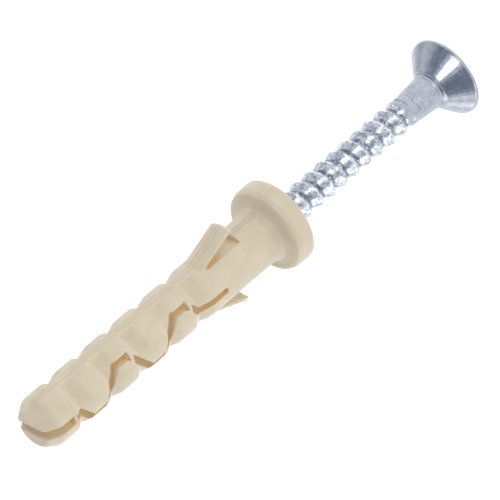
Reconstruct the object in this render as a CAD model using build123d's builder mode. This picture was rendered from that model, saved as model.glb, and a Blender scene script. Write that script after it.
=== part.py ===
from build123d import *
from math import cos, radians, sin, tan
import os

os.makedirs("parts", exist_ok=True)

# A hammer fixing: a nylon expansion sleeve with its threaded nail part-way in, as it is sold.
# It stands on the nail's head with the sleeve's tip up, so its axis is Z, and the fins point along Y.
# The origin is on the axis, in the collar's bearing face, which meets the wall. Sizes are millimetres.
# Places along the axis are called x: they grow down from the bearing face to the nail's head, and are
# negative up the sleeve.

# Sleeve: lengths from the bearing face, diameters and walls
sleeve_length = 35.0
collar_thickness = 2.55
collar_d = 10.0
collar_underside_d = 9.9
collar_edge_r = 0.7
collar_rim_cut = 0.2
neck_d = 6.1
neck_ramp_length = 0.1
neck_flare_r = 1.0
body_d = 6.0
tip_face_d = 4.05
tip_bevel_length = 1.5
tip_edge_cut = 0.2

# Barbs: each one ramps up from a notch, runs level and drops into the next notch
barb_count = 5
tip_barb_length = 4.65
last_barb_length = 1.85
notch_depth = 0.5
notch_ramp_length = 1.5
notch_drop_length = 0.75

# Plain ribs along the mould's parting plane
rib_ridge_height = 0.1
rib_width = 1.4
rib_shoulder_drop = 0.07
rib_root_width = 1.9
rib_depth = 0.8

# Fins that stop the sleeve turning in the wall, and the pockets that they fold into
fin_root_x = 10.9
fin_end_x = 5.2
fin_reach = 5.25
fin_width = 2.5
fin_shoulder_drop = 0.45
fin_edge_thickness = 0.42
fin_end_bevel = 0.3
pocket_start_x = 9.4
pocket_end_x = 4.4
pocket_width = 2.9
pocket_floor_r = 2.45

# Zig-zag slit through both walls, and the thin webs across it that break on the first blow
slit_width = 0.7
slit_mouth_width = 1.1
slit_amplitude = 1.65
slit_rise_share = 0.293
slit_end_x = 8.6
web_length = 0.4
web_span = 2.1
web_past_bend = 0.34
web_inner_r = 2.05
web_outer_r = 2.75

# Bore for the nail
running_clearance = 0.05
bore_mouth_depth = 2.0
bore_tip_length = 3.8
tip_hole_d = 0.8
seat_top_d = 8.8

# Nail: lengths along it, from its point or from the top of its head, and its ratchet thread
nail_length = 37.0
nail_inserted = 10.15
point_length = 3.3
point_flat_d = 0.4
thread_d = 3.8
thread_root_d = 2.9
thread_pitch = 1.91
thread_steep_flank = 0.67
thread_root_flat = 0.2
thread_offset = 2.9
thread_sink = 0.03
thread_end_from_head = 6.9
thread_fade = 1.6
shank_d = 3.45
shank_top_d = 4.05
shank_shoulder = 0.35
shank_step_from_head = 5.4
shank_step = 0.04
head_d = 9.2
head_angle_deg = 90.0
head_rim = 0.27
head_edge_cut = 0.06
head_blend_cut = 0.4

# Cross recess in the head's top
recess_span = 4.3
recess_slot = 1.05
recess_depth = 2.1
recess_taper_deg = 9.0

# What follows from those sizes
body_r = body_d / 2
notch_r = body_r - notch_depth
first_notch_x = -sleeve_length + tip_barb_length
barb_pitch = (sleeve_length - tip_barb_length - last_barb_length - fin_root_x) / (barb_count - 1)
notch_xs = [first_notch_x + i * barb_pitch for i in range(barb_count)]
bore_r = thread_d / 2 + running_clearance
bore_mouth_r = shank_top_d / 2 + running_clearance
nail_tip_x = collar_thickness - nail_inserted
head_top_x = nail_tip_x + nail_length

# Planes: the parting plane holds the axis (its x, downwards) and points along the front fin (its y)
axis_way = Vector(0, 0, -1)
axis_line = Axis(origin=(0, 0, 0), direction=axis_way)
fin_way = Vector(0, -1, 0)
parting = Plane(origin=(0, 0, 0), x_dir=axis_way, z_dir=axis_way.cross(fin_way))


def section_at(x):
    """A plane across the axis at x, with its own x along the front fin."""
    return Plane(origin=axis_way * x, x_dir=fin_way, z_dir=axis_way)


def arc_steps(centre, radius, start_deg, end_deg):
    """The points of a rounded corner in an outline, drawn in two short straight steps."""
    angles = [radians(start_deg + (end_deg - start_deg) * share) for share in (0, 0.5, 1)]
    return [(centre[0] + radius * cos(a), centre[1] + radius * sin(a)) for a in angles]


def corners(sketch, places):
    """The corners of a sketch that lie at these places in it."""
    spots = [Vector(*place) for place in places]
    return [v for v in sketch.vertices() if min((Vector(v) - spot).length for spot in spots) < 0.001]


# Ribs: a shallow roof on drafted sides, from the tip's bevel to the collar, on two sides of the sleeve
with BuildPart() as ribs:
    with BuildSketch(section_at(-sleeve_length)):
        ridge_r = body_r + rib_ridge_height
        shoulder_r = body_r - rib_shoulder_drop
        with BuildLine():
            Polyline(
                (ridge_r, 0),
                (shoulder_r, rib_width / 2),
                (body_r - rib_depth, rib_root_width / 2),
                (body_r - rib_depth, -rib_root_width / 2),
                (shoulder_r, -rib_width / 2),
                close=True,
            )
        make_face()
        mirror(about=Plane.YZ)
    extrude(amount=sleeve_length)
    with BuildSketch(parting):
        with BuildLine():
            Polyline(
                (-sleeve_length, 0),
                (-sleeve_length, tip_face_d / 2),
                (-sleeve_length + tip_bevel_length, ridge_r),
                (0, ridge_r),
                (0, 0),
                close=True,
            )
        make_face()
    revolve(axis=axis_line, mode=Mode.INTERSECT)

# One fin: a thin flap with a roof-shaped back that leaves the rib at its root and points at the collar
fin_rise = fin_reach - body_r
fin_run = fin_root_x - fin_end_x
fin_line = axis_way * fin_run + fin_way * fin_rise
fin_root = axis_way * -fin_root_x + fin_way * body_r
with BuildPart() as fin:
    fin_plane = Plane(origin=fin_root, x_dir=parting.z_dir, z_dir=fin_line)
    with BuildSketch(fin_plane):
        with BuildLine():
            Polyline(
                (0, 0),
                (fin_width / 2, fin_shoulder_drop),
                (fin_width / 2, fin_shoulder_drop + fin_edge_thickness),
                (-fin_width / 2, fin_shoulder_drop + fin_edge_thickness),
                (-fin_width / 2, fin_shoulder_drop),
                close=True,
            )
        make_face()
    extrude(amount=fin_line.length)
    fin_end = fin.faces().sort_by(axis_line)[-1]
    chamfer(fin_end.edges().sort_by(Axis(origin=(0, 0, 0), direction=fin_way))[-2:], fin_end_bevel)

# The slit's cutter: a zig-zag band in the parting plane, run right through, less the webs
rise_run = slit_rise_share * barb_pitch
half_flat = barb_pitch / 2 - rise_run
mouth_end_x = notch_xs[0] - rise_run + web_past_bend
zigzag = [(-sleeve_length - slit_width, 0), (notch_xs[0], 0)]
web_places = [(mouth_end_x, 0)]
for i, x in enumerate(notch_xs[1:]):
    middle_x = x - barb_pitch / 2
    side = -slit_amplitude if i % 2 == 0 else slit_amplitude
    zigzag += [(middle_x - half_flat, side), (middle_x + half_flat, side)]
    web_places.append((middle_x + half_flat + web_past_bend, side))
zigzag += [(notch_xs[-1], 0), (-slit_end_x - slit_width / 2, 0)]

with BuildPart() as slit:
    with BuildSketch(parting):
        with BuildLine():
            centre_line = Polyline(*zigzag)
            offset(centre_line, amount=slit_width / 2)
        make_face()
        with Locations(((mouth_end_x - sleeve_length) / 2, 0)):
            Rectangle(mouth_end_x + sleeve_length, slit_mouth_width)
    extrude(amount=collar_d, both=True)
    for way in (1, -1):
        with BuildSketch(parting.offset(way * web_inner_r)):
            with Locations(*web_places):
                Rectangle(web_length, web_span)
        extrude(amount=way * (web_outer_r - web_inner_r), mode=Mode.SUBTRACT)

# The sleeve: its outline turned about the axis, then ribs, pockets, fins, slit and bore
with BuildPart() as expansion_sleeve:
    with BuildSketch(parting) as outline:
        tip_corners = [(-sleeve_length, tip_face_d / 2), (-sleeve_length + tip_bevel_length, body_r)]
        barbs = []
        for notch_x in notch_xs:
            barbs += [(notch_x - notch_drop_length, body_r), (notch_x, notch_r), (notch_x + notch_ramp_length, body_r)]
        with BuildLine():
            Polyline(
                (-sleeve_length, 0),
                *tip_corners,
                *barbs,
                (-fin_root_x - neck_ramp_length, body_r),
                (-fin_root_x, neck_d / 2),
                *arc_steps((-neck_flare_r, neck_d / 2 + neck_flare_r), neck_flare_r, 270, 360),
                *arc_steps((collar_edge_r, collar_underside_d / 2 - collar_edge_r), collar_edge_r, 180, 90),
                (collar_thickness, collar_d / 2),
                (collar_thickness, 0),
                close=True,
            )
        make_face()
        chamfer(corners(outline, tip_corners), tip_edge_cut)
        chamfer(corners(outline, [(collar_thickness, collar_d / 2)]), collar_rim_cut)
    revolve(axis=axis_line)
    add(ribs.part)
    with BuildSketch(parting):
        pocket_middle = -(pocket_start_x + pocket_end_x) / 2
        with Locations((pocket_middle, (pocket_floor_r + fin_reach) / 2)):
            Rectangle(pocket_start_x - pocket_end_x, fin_reach - pocket_floor_r)
        mirror(about=Plane.XZ)
    extrude(amount=pocket_width / 2, both=True, mode=Mode.SUBTRACT)
    add(fin.part)
    add(fin.part.rotate(axis_line, 180))
    add(slit.part, mode=Mode.SUBTRACT)
    with BuildSketch(parting) as bore:
        seat_bottom_x = collar_thickness - (seat_top_d / 2 - bore_mouth_r) / tan(radians(head_angle_deg / 2))
        with BuildLine():
            Polyline(
                (-sleeve_length, 0),
                (-sleeve_length, tip_hole_d / 2),
                (-sleeve_length + bore_tip_length, bore_r),
                (-bore_mouth_depth - (bore_mouth_r - bore_r), bore_r),
                (-bore_mouth_depth, bore_mouth_r),
                (seat_bottom_x, bore_mouth_r),
                (collar_thickness, seat_top_d / 2),
                (collar_thickness, 0),
                close=True,
            )
        make_face()
        chamfer(corners(bore, [(seat_bottom_x, bore_mouth_r)]), head_blend_cut)
    revolve(axis=axis_line, mode=Mode.SUBTRACT)

expansion_sleeve.part.label = "expansion_sleeve"
export_step(expansion_sleeve.part, "parts/expansion_sleeve.step")

# The nail's thread: a ratchet, shallow on the flank that leads into the wall and steep on the one behind.
# Each length of it is a ridge, drawn in a plane that holds the axis and swept along a helix from one end's
# size to the other's. The ridge's foot is sunk into the nail, so that the two join.
root_r = thread_root_d / 2
thread_r = thread_d / 2
thread_lead_flank = thread_pitch - thread_root_flat - thread_steep_flank


def turn_at(x):
    """The plane across the axis at x whose own x points at the thread's crest."""
    turns = (x - nail_tip_x - thread_offset) / thread_pitch
    way = fin_way.rotate(axis_line, 360 * turns)
    return Plane(origin=axis_way * x, x_dir=way, z_dir=axis_way)


def thread_section(x, root, crest):
    """The ridge's section at x, between these root and crest radii, with a knee halfway up each flank."""
    crest_way = turn_at(x).x_dir
    knee = (root + crest) / 2
    toe_lead = -thread_lead_flank - thread_sink
    toe_steep = thread_steep_flank + thread_sink
    with BuildSketch(Plane(origin=axis_way * x, x_dir=axis_way, z_dir=axis_way.cross(crest_way))) as section:
        with BuildLine():
            Polyline(
                (toe_lead, root / 2),
                (toe_lead, root - thread_sink),
                (-thread_lead_flank / 2, knee),
                (0, crest),
                (thread_steep_flank / 2, knee),
                (toe_steep, root - thread_sink),
                (toe_steep, root / 2),
                close=True,
            )
        make_face()
    return section.sketch


def thread(start_x, end_x, start_radii, end_radii):
    """A length of the ridge, from one pair of root and crest radii to another."""
    with BuildPart() as ridge:
        with BuildLine() as turning:
            Helix(thread_pitch, end_x - start_x, root_r)
        path = turn_at(start_x).location * turning.wire()
        ends = [thread_section(start_x, *start_radii), thread_section(end_x, *end_radii)]
        sweep(ends, path=path, is_frenet=True, multisection=True)
    return ridge.part


# The nail: its point, core, shank and countersunk head turned about the axis, then the thread and recess
point_end_x = nail_tip_x + point_length
thread_end_x = head_top_x - thread_end_from_head
fade_start_x = thread_end_x - thread_fade
shank_r = shank_d / 2
shank_top_r = shank_top_d / 2
shank_end_x = head_top_x - head_rim - (head_d / 2 - shank_top_r) / tan(radians(head_angle_deg / 2))
step_x = head_top_x - shank_step_from_head
step_share = (step_x - thread_end_x) / (shank_end_x - thread_end_x)
step_r = shank_r + (shank_top_r - shank_r) * step_share
with BuildPart() as nail_screw:
    with BuildSketch(parting) as blank:
        with BuildLine():
            Polyline(
                (nail_tip_x, 0),
                (nail_tip_x, point_flat_d / 2),
                (point_end_x, root_r),
                (thread_end_x - shank_shoulder, root_r),
                (thread_end_x, shank_r),
                (step_x, step_r - shank_step),
                (step_x, step_r),
                (shank_end_x, shank_top_r),
                (head_top_x - head_rim, head_d / 2),
                (head_top_x, head_d / 2),
                (head_top_x, 0),
                close=True,
            )
        make_face()
        chamfer(corners(blank, [(shank_end_x, shank_top_r)]), head_blend_cut)
        chamfer(corners(blank, [(head_top_x - head_rim, head_d / 2), (head_top_x, head_d / 2)]), head_edge_cut)
    revolve(axis=axis_line)
    point_radii = (point_flat_d / 2, point_flat_d / 2 + 2 * thread_sink)
    thread_radii = (root_r, thread_r)
    faded_radii = (root_r, shank_r - shank_step)
    add(thread(nail_tip_x + thread_lead_flank + thread_sink, point_end_x, point_radii, thread_radii))
    add(thread(point_end_x, fade_start_x, thread_radii, thread_radii))
    add(thread(fade_start_x, thread_end_x, thread_radii, faded_radii))
    with BuildSketch(section_at(head_top_x)):
        Rectangle(recess_span, recess_slot)
        Rectangle(recess_slot, recess_span)
    extrude(amount=-recess_depth, taper=recess_taper_deg, mode=Mode.SUBTRACT)

nail_screw.part.label = "nail_screw"
export_step(nail_screw.part, "parts/nail_screw.step")
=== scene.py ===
# %% [markdown]
# # A hammer fixing, dressed for its photograph
#
# The object is a nylon expansion sleeve with a threaded nail part-way into it. The two solids come from the
# CAD file, already in the right place and at the real size. This lesson gives them their finishes, puts them
# on a white table and lights them.
#
# The fixing would roll if it lay down, so it stands on the nail's flat head with the sleeve's tip up.

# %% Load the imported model
from math import atan2, copysign, cos, exp, pi, radians, sin

import bpy
from mathutils import Matrix, Vector
from mathutils.noise import turbulence


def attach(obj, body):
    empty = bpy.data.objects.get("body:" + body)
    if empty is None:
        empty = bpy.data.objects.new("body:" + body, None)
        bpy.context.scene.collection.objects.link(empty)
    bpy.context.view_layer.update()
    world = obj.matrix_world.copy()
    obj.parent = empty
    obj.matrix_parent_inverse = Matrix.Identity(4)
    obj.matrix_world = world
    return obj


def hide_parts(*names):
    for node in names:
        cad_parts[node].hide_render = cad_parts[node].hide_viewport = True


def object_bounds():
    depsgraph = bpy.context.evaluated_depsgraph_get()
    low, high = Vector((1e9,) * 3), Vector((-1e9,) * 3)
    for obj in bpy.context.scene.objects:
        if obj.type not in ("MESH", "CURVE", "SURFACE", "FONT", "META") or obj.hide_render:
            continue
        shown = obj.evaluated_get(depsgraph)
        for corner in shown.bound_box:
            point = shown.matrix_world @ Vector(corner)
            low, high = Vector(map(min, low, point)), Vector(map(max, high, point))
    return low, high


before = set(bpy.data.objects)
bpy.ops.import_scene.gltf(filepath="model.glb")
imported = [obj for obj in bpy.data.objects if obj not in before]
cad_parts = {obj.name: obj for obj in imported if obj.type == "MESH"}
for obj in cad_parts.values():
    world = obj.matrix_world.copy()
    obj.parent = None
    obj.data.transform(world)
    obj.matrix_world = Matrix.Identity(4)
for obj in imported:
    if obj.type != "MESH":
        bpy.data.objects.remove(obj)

mm = 0.001
cad_low, cad_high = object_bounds()
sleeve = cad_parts["expansion_sleeve"]
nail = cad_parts["nail_screw"]
print("CAD box in mm:", [round((high - low) / mm, 2) for low, high in zip(cad_low, cad_high)])

# %% [markdown]
# ## The camera
#
# The photograph was taken with a long lens, so parallel edges stay almost parallel. Its picture shows the
# fixing on a slant with the tip at the lower left, which is a camera above the table, turned past upside
# down about its own line of sight. A camera can be aimed with a constraint, but axes worked out from three
# angles are just as short and leave nothing behind.

# %% Camera at the photograph's angle
view_azimuth = radians(-45.07)
view_elevation = radians(28.99)
camera_roll = radians(-130.62)
camera_distance = 519.0 * mm
aim_right = -1.353 * mm
aim_up = -1.78 * mm
lens_mm = 360.0
sensor_mm = 36.0


def way_to(azimuth, elevation):
    """The direction from the fixing to whatever stands at this azimuth and elevation."""
    level = cos(elevation)
    return Vector((sin(azimuth) * level, -cos(azimuth) * level, sin(elevation)))


toward_camera = way_to(view_azimuth, view_elevation)
level_right = Vector((cos(view_azimuth), sin(view_azimuth), 0.0))
roll = Matrix.Rotation(camera_roll, 3, toward_camera)
picture_right = roll @ level_right
picture_up = roll @ toward_camera.cross(level_right)

camera = bpy.data.objects.new("camera", bpy.data.cameras.new("camera"))
bpy.context.scene.collection.objects.link(camera)
bpy.context.scene.camera = camera
camera.data.lens = lens_mm
camera.data.sensor_width = sensor_mm
camera.data.clip_start = 10.0 * mm
camera.location = picture_right * aim_right + picture_up * aim_up + toward_camera * camera_distance
camera.rotation_mode = "QUATERNION"
camera.rotation_quaternion = Matrix((picture_right, picture_up, toward_camera)).transposed().to_quaternion()
print("camera at, in mm:", [round(v / mm, 1) for v in camera.location])

# %% [markdown]
# ## The white table
#
# The photograph's ground is plain white, with next to no shadow. A wide white plane at the height of the
# nail's head is the table. Lamps strong enough to make it quite white would burn out the nylon above it, so
# it also glows a little by itself, which fills in the shadows too. A white room would give the same ground
# without a table, but the plating needs a dimmer room.

# %% White table
white = (1.0, 1.0, 1.0)
table_paint = (0.93, 0.93, 0.93)
table_half = 2000.0 * mm
table_glow = 0.42


def node_material(name):
    """A new node-based material and its main shader."""
    material = bpy.data.materials.new(name)
    material.use_nodes = True
    return material, material.node_tree.nodes["Principled BSDF"]


corner_signs = ((-1, -1), (1, -1), (1, 1), (-1, 1))
table_mesh = bpy.data.meshes.new("table")
table_corners = [(x * table_half, y * table_half, cad_low.z) for x, y in corner_signs]
table_mesh.from_pydata(table_corners, [], [(0, 1, 2, 3)])
table = bpy.data.objects.new("table", table_mesh)
bpy.context.scene.collection.objects.link(table)
table_white, shader = node_material("table_white")
shader.inputs["Base Color"].default_value = (*table_paint, 1.0)
shader.inputs["Roughness"].default_value = 0.9
shader.inputs["Emission Color"].default_value = (*white, 1.0)
shader.inputs["Emission Strength"].default_value = table_glow
table_mesh.materials.append(table_white)
print("table at z, in mm:", round(cad_low.z / mm, 2))

# %% [markdown]
# ## The lamps
#
# Bright plating shows whatever stands around it, so the lamps are placed for the nail's countersunk head. A
# small lamp high in front gives the white streak down the cone, and a wider one on each side gives its pale
# edges. Four more light the sleeve, the thread and the table. A ready-made studio picture wrapped round the
# scene is the usual short cut, but its streaks can't be moved one by one.

# %% Lamps
cool_white = (0.90, 0.95, 1.0)
warm_white = (1.0, 0.98, 0.94)
faint_warm = (1.0, 0.98, 0.96)


def soft_box(name, side_deg, height_deg, size_mm, power, colour=white, distance_mm=500.0):
    """A square lamp that faces the fixing, turned to a side from the camera and raised above the table."""
    light = bpy.data.lights.new(name, "AREA")
    light.shape = "SQUARE"
    light.size = size_mm * mm
    light.energy = power
    light.color = colour
    lamp = bpy.data.objects.new(name, light)
    bpy.context.scene.collection.objects.link(lamp)
    way = way_to(view_azimuth + radians(side_deg), radians(height_deg))
    lamp.location = way * (distance_mm * mm)
    lamp.rotation_mode = "QUATERNION"
    lamp.rotation_quaternion = way.to_track_quat("Z", "Y")
    print(name, "at, in mm:", [round(v / mm) for v in lamp.location])


soft_box("streak_lamp", side_deg=22, height_deg=60, size_mm=150, power=0.5)
soft_box("cool_side_lamp", side_deg=112, height_deg=31, size_mm=300, power=0.14, colour=cool_white)
soft_box("warm_side_lamp", side_deg=-98, height_deg=14, size_mm=280, power=0.34, colour=warm_white)
soft_box("front_lamp", side_deg=5, height_deg=14, size_mm=200, power=0.27)
soft_box("low_side_lamp", side_deg=-72, height_deg=10, size_mm=120, power=0.12, colour=faint_warm)
soft_box("far_side_lamp", side_deg=-138, height_deg=14, size_mm=220, power=0.20)
soft_box("table_lamp", side_deg=180, height_deg=68, size_mm=450, power=0.9, distance_mm=600.0)

# %% [markdown]
# ## The room
#
# Between the lamps the plating shows the room. Its walls are pale up to about 17 degrees above the horizon
# and fade into a dim blue at about 33 degrees, which gives the head its dark blue streaks beside the white
# one. One even grey would light the fixing as well, but the head would lose those streaks. The height is the
# Z of the direction in which the room is seen, 0 at the horizon and 1 straight up.

# %% Room with pale walls, dim above them
wall_foot = (0.72, 0.75, 0.80)
wall_top = (0.72, 0.76, 0.82)
dim_ceiling = (0.27, 0.31, 0.42)


def ramp(tree, value, stops):
    """A colour ramp from (position, colour) stops."""
    node = tree.nodes.new("ShaderNodeValToRGB")
    while len(node.color_ramp.elements) < len(stops):
        node.color_ramp.elements.new(0.5)
    for element, (position, colour) in zip(node.color_ramp.elements, stops):
        element.position = position
        element.color = (*colour, 1.0)
    tree.links.new(value, node.inputs["Fac"])
    return node.outputs["Color"]


room = bpy.data.worlds.new("room")
room.use_nodes = True
tree = room.node_tree
direction = tree.nodes.new("ShaderNodeTexCoord")
split = tree.nodes.new("ShaderNodeSeparateXYZ")
tree.links.new(direction.outputs["Generated"], split.inputs["Vector"])
walls = ramp(tree, split.outputs["Z"], [(0.0, wall_foot), (0.30, wall_top), (0.55, dim_ceiling)])
tree.links.new(walls, tree.nodes["Background"].inputs["Color"])
tree.nodes["Background"].inputs["Strength"].default_value = 1.0
bpy.context.scene.world = room
# The default view turns bright whites a little grey. The Standard one keeps them white.
bpy.context.scene.view_settings.view_transform = "Standard"
print("room nodes:", len(tree.nodes))

# %% [markdown]
# ## Nylon
#
# The sleeve is moulded in natural nylon, which is cream, matt and a little translucent. Plain diffuse colour
# looks like paint, so the shader gets subsurface scattering, over a fraction of a millimetre so that the
# barbs stay crisp. In the real slit, light bounces from wall to wall and seeps in through the nylon, and the
# walls turn a warm ochre. Scattering over a longer way would show that too, but it would blur the barbs. So a
# painted warm tint that grows in hollows stands in for bounced light, and a painted glow deep inside for
# the light that seeps in. Noise gives the clouding of the resin and the fine grain of the mould's steel.

# %% Nodes for a finish
def noise(tree, scale, detail):
    """A noise texture in the object's own metres, as a value between 0 and 1."""
    spot = tree.nodes.new("ShaderNodeTexCoord")
    texture = tree.nodes.new("ShaderNodeTexNoise")
    texture.inputs["Scale"].default_value = scale
    texture.inputs["Detail"].default_value = detail
    tree.links.new(spot.outputs["Object"], texture.inputs["Vector"])
    return texture.outputs["Fac"]


def openness(tree, reach):
    """How open a spot is within this reach: near 0 deep in a hollow, 1 on a bare face."""
    node = tree.nodes.new("ShaderNodeAmbientOcclusion")
    node.inputs["Distance"].default_value = reach
    return node.outputs["AO"]


def multiply(tree, colour, tint):
    """Two colours multiplied."""
    node = tree.nodes.new("ShaderNodeMix")
    node.data_type = "RGBA"
    node.blend_type = "MULTIPLY"
    node.inputs["Factor"].default_value = 1.0
    tree.links.new(colour, node.inputs["A"])
    tree.links.new(tint, node.inputs["B"])
    return node.outputs["Result"]


def bump(tree, value, strength, depth):
    """A bump from a value, as a normal."""
    node = tree.nodes.new("ShaderNodeBump")
    node.inputs["Strength"].default_value = strength
    node.inputs["Distance"].default_value = depth
    tree.links.new(value, node.inputs["Height"])
    return node.outputs["Normal"]


# %% Nylon finish
cream = (0.625, 0.535, 0.37)
pale_cream = (0.685, 0.59, 0.425)
# Painted light: warm tints for hollows, standing in for light bounced between the slit's walls.
painted_bounce_ochre = (1.1, 0.82, 0.42)
painted_bounce_sand = (1.04, 0.88, 0.62)
# Painted light: glow colours for deep in the slit, standing in for light that seeps through the nylon.
deep_glow = (0.20, 0.165, 0.11)
faint_glow = (0.11, 0.09, 0.06)
no_glow = (0.0, 0.0, 0.0)
hollow_reach = 1.3 * mm
slit_reach = 8.0 * mm
clouding_scale = 350.0
mould_grain_scale = 9000.0
mould_grain_depth = 0.02 * mm

nylon, shader = node_material("nylon")
tree = nylon.node_tree
clouding = ramp(tree, noise(tree, clouding_scale, 3.0), [(0.3, cream), (0.7, pale_cream)])
# Painted light: the tint grows where a spot is less open, standing in for bounced light in the hollows.
painted_bounce_stops = [(0.05, painted_bounce_ochre), (0.5, painted_bounce_sand), (0.85, white)]
tint = ramp(tree, openness(tree, hollow_reach), painted_bounce_stops)
tree.links.new(multiply(tree, clouding, tint), shader.inputs["Base Color"])
# Painted light: the nylon glows where it lies deep in the slit, though it is no lamp.
glow_stops = [(0.0, deep_glow), (0.15, faint_glow), (0.35, no_glow)]
tree.links.new(ramp(tree, openness(tree, slit_reach), glow_stops), shader.inputs["Emission Color"])
shader.inputs["Emission Strength"].default_value = 1.0
shader.inputs["Roughness"].default_value = 0.42
shader.inputs["Subsurface Weight"].default_value = 0.7
shader.inputs["Subsurface Radius"].default_value = (1.0, 0.68, 0.38)
shader.inputs["Subsurface Scale"].default_value = 0.15 * mm
mould_grain = noise(tree, mould_grain_scale, 2.0)
tree.links.new(bump(tree, mould_grain, 0.15, mould_grain_depth), shader.inputs["Normal"])
print("nylon nodes:", len(tree.nodes))

# %% [markdown]
# ## Even skins
#
# A mould has no knife edges, and the nylon shrinks as it cools, so every edge of the real sleeve is a little
# round and catches the light. Rounding each edge with a bevel would need a clean outline at every crossing of
# barbs, ribs and slit. Wrapping the solid in an even skin of tiny faces and smoothing that rounds them all in
# one go. The tiny faces also take small forms, made by moving single vertices. The skin is thinned only
# after that, mostly where it is flat, so the small forms keep their vertices.

# %% Skin helpers
def baked(piece):
    """Fixes what a piece's modifiers do into its mesh."""
    evaluated = piece.evaluated_get(bpy.context.evaluated_depsgraph_get())
    piece.data = bpy.data.meshes.new_from_object(evaluated)
    piece.data.name = piece.name
    piece.modifiers.clear()
    piece.data.materials.clear()
    piece.data.shade_smooth()


def even_skin(solid, name, face_size):
    """A copy of a solid, wrapped in even faces and smoothed a little."""
    skin = bpy.data.objects.new(name, solid.data.copy())
    bpy.context.scene.collection.objects.link(skin)
    skin.matrix_world = solid.matrix_world
    wrap = skin.modifiers.new("wrap", "REMESH")
    wrap.mode = "VOXEL"
    wrap.voxel_size = face_size
    soften = skin.modifiers.new("soften", "SMOOTH")
    soften.factor = 0.3
    soften.iterations = 1
    baked(skin)
    print(name, "is wrapped in", len(skin.data.polygons), "faces")
    return skin


def thin_out(skin, kept_share):
    """Takes triangles out of a skin, down to a share of them."""
    thin = skin.modifiers.new("thin", "DECIMATE")
    thin.ratio = kept_share
    baked(skin)
    print(skin.name, "is thinned to", len(skin.data.polygons), "faces")


def hump(distance, width):
    """A smooth hump of height 1 that falls away on both sides."""
    return exp(-((distance / width) ** 2))


# %% [markdown]
# ## The soft sleeve
#
# The mould's two halves part along the ribs, and a fine raised line runs down the real ones. A ridge laid on
# the ribs would show it, but it would stand out of the solid's own box. Pressing in a shallow groove on each
# side leaves the line standing between them.

# %% Soft sleeve with its mould line
seam_gap = 0.20 * mm
seam_depth = 0.15 * mm
seam_width = 0.09 * mm
rib_half = 0.6 * mm
rib_low_r = 2.5 * mm
rib_facing = 0.5

soft_sleeve = even_skin(sleeve, "soft_sleeve", face_size=0.10 * mm)
# The vertices are picked before any moves, because a move makes Blender work out every normal again.
rib_back = [
    vertex for vertex in soft_sleeve.data.vertices
    if abs(vertex.co.x) < rib_half
    and abs(vertex.co.y) > rib_low_r
    and vertex.co.z > 0.0
    and abs(vertex.normal.y) > rib_facing
]
for vertex in rib_back:
    groove = seam_depth * hump(abs(vertex.co.x) - seam_gap, seam_width)
    vertex.co.y -= copysign(groove, vertex.co.y)
print("vertices on the ribs' backs:", len(rib_back))

thin_out(soft_sleeve, kept_share=0.5)
soft_sleeve.data.materials.append(nylon)
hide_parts("expansion_sleeve")
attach(soft_sleeve, "sleeve")

# %% [markdown]
# ## Zinc plate
#
# The nail is steel with a thin bright zinc plate. The struck head and the shank are smooth under it. The
# thread was rolled between dies, and there the plate is speckled. Painted shade darkens its roots and a
# painted highlight brightens its crests. The speckle is noise, the painted shade follows how open each
# spot is, and the painted highlight how pointed it is. One function makes both finishes from the same
# nodes, with less or more contrast. A single finish with a mask would do too, but two named ones are
# easier to tune apart.

# %% Zinc finishes
noise_low = 0.35
noise_high = 0.65
root_reach = 0.5 * mm
crystal_scale = 6000.0
crystal_depth = 0.02 * mm


def zinc_finish(name, speckle_scale, dark_zinc, pale_zinc, painted_root_shade, painted_crest_highlight, roughness, relief):
    """Bright zinc, speckled dark to pale grey, painted shade in roots, a painted highlight on crests."""
    material, shader = node_material(name)
    tree = material.node_tree
    smooth, dull = roughness
    speckle = noise(tree, speckle_scale, 5.0)
    plate = ramp(tree, speckle, [(noise_low, dark_zinc), (noise_high, pale_zinc)])
    # Painted shade: the plate is darker where a spot is less open, as in the thread's roots.
    shade = ramp(tree, openness(tree, root_reach), [(0.3, painted_root_shade), (0.85, white)])
    shape = tree.nodes.new("ShaderNodeNewGeometry")
    # Painted shade in concave creases and a painted highlight on pointed crests.
    painted_crease_and_crest_stops = [(0.44, painted_root_shade), (0.5, white), (0.56, (painted_crest_highlight,) * 3)]
    painted_crease_and_crest = ramp(tree, shape.outputs["Pointiness"], painted_crease_and_crest_stops)
    tree.links.new(multiply(tree, multiply(tree, plate, shade), painted_crease_and_crest), shader.inputs["Base Color"])
    shader.inputs["Metallic"].default_value = 1.0
    crystals = noise(tree, crystal_scale, 3.0)
    sheen = ramp(tree, crystals, [(noise_low, (smooth,) * 3), (noise_high, (dull,) * 3)])
    tree.links.new(sheen, shader.inputs["Roughness"])
    tree.links.new(bump(tree, crystals, relief, crystal_depth), shader.inputs["Normal"])
    print(name, "nodes:", len(tree.nodes))
    return material


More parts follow.
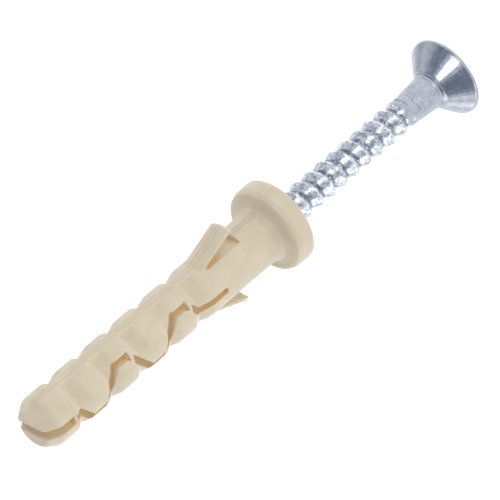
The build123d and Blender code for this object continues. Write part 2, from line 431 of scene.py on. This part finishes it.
struck_zinc = zinc_finish(
    "struck_zinc",
    speckle_scale=1500.0,
    dark_zinc=(0.365, 0.38, 0.41),
    pale_zinc=(0.455, 0.47, 0.50),
    painted_root_shade=(0.55, 0.57, 0.62),
    painted_crest_highlight=1.2,
    roughness=(0.22, 0.32),
    relief=0.15,
)
rolled_zinc = zinc_finish(
    "rolled_zinc",
    speckle_scale=2600.0,
    dark_zinc=(0.31, 0.33, 0.36),
    pale_zinc=(0.76, 0.78, 0.81),
    painted_root_shade=(0.18, 0.19, 0.22),
    painted_crest_highlight=1.35,
    roughness=(0.20, 0.38),
    relief=0.6,
)

# %% [markdown]
# ## The rolled nail
#
# The head is struck in one blow and the thread is rolled between dies. The dies press a sharp line into the
# foot of the thread's steep flank and leave light scars on the rest. Two fine rings run round the plain part,
# one on the shank and one where the head's cone begins. They could all be bumps in the material, but pressed
# into the skin they are real shapes. The foot line needs its place on the helix: a point's height and its
# turn about the axis together say how far it lies behind the thread's last crest.

# %% Measures of the rolled nail
thread_pitch = 1.91 * mm
thread_low_z = -21.6 * mm
crest_z = 4.7 * mm
foot_after_crest = 0.74 * mm
foot_depth = 0.13 * mm
foot_width = 0.14 * mm
rolling_scar = 0.02 * mm
scar_size = 0.32 * mm
scar_octaves = 2
step_z = -23.3 * mm
cone_z = -26.5 * mm
ring_depth = 0.06 * mm
ring_width = 0.12 * mm


def past_crest(spot):
    """How far a point lies behind the thread's last crest, towards the head."""
    turned = atan2(-spot.x, -spot.y) / (2.0 * pi)
    return ((crest_z - spot.z) / thread_pitch - turned) % 1.0 * thread_pitch


def pressed_in(spot):
    """How deep this point of the nail is pressed in towards the axis."""
    if spot.z > thread_low_z:
        scar = rolling_scar * (0.5 + 0.5 * turbulence(spot / scar_size, scar_octaves, False))
        return scar + foot_depth * hump(past_crest(spot) - foot_after_crest, foot_width)
    return sum(ring_depth * hump(spot.z - ring_z, ring_width) for ring_z in (step_z, cone_z))


# %% Rolled skin over the nail
rolled_nail = even_skin(nail, "rolled_nail", face_size=0.08 * mm)
for vertex in rolled_nail.data.vertices:
    out = Vector((vertex.co.x, vertex.co.y, 0.0))
    vertex.co -= out.normalized() * pressed_in(vertex.co)
thin_out(rolled_nail, kept_share=0.7)

# %% Finishes of the nail
rolled_nail.data.materials.append(struck_zinc)
rolled_nail.data.materials.append(rolled_zinc)
for face in rolled_nail.data.polygons:
    face.material_index = int(face.center.z > thread_low_z)
print("thread faces:", sum(face.material_index for face in rolled_nail.data.polygons))
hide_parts("nail_screw")
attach(rolled_nail, "nail")
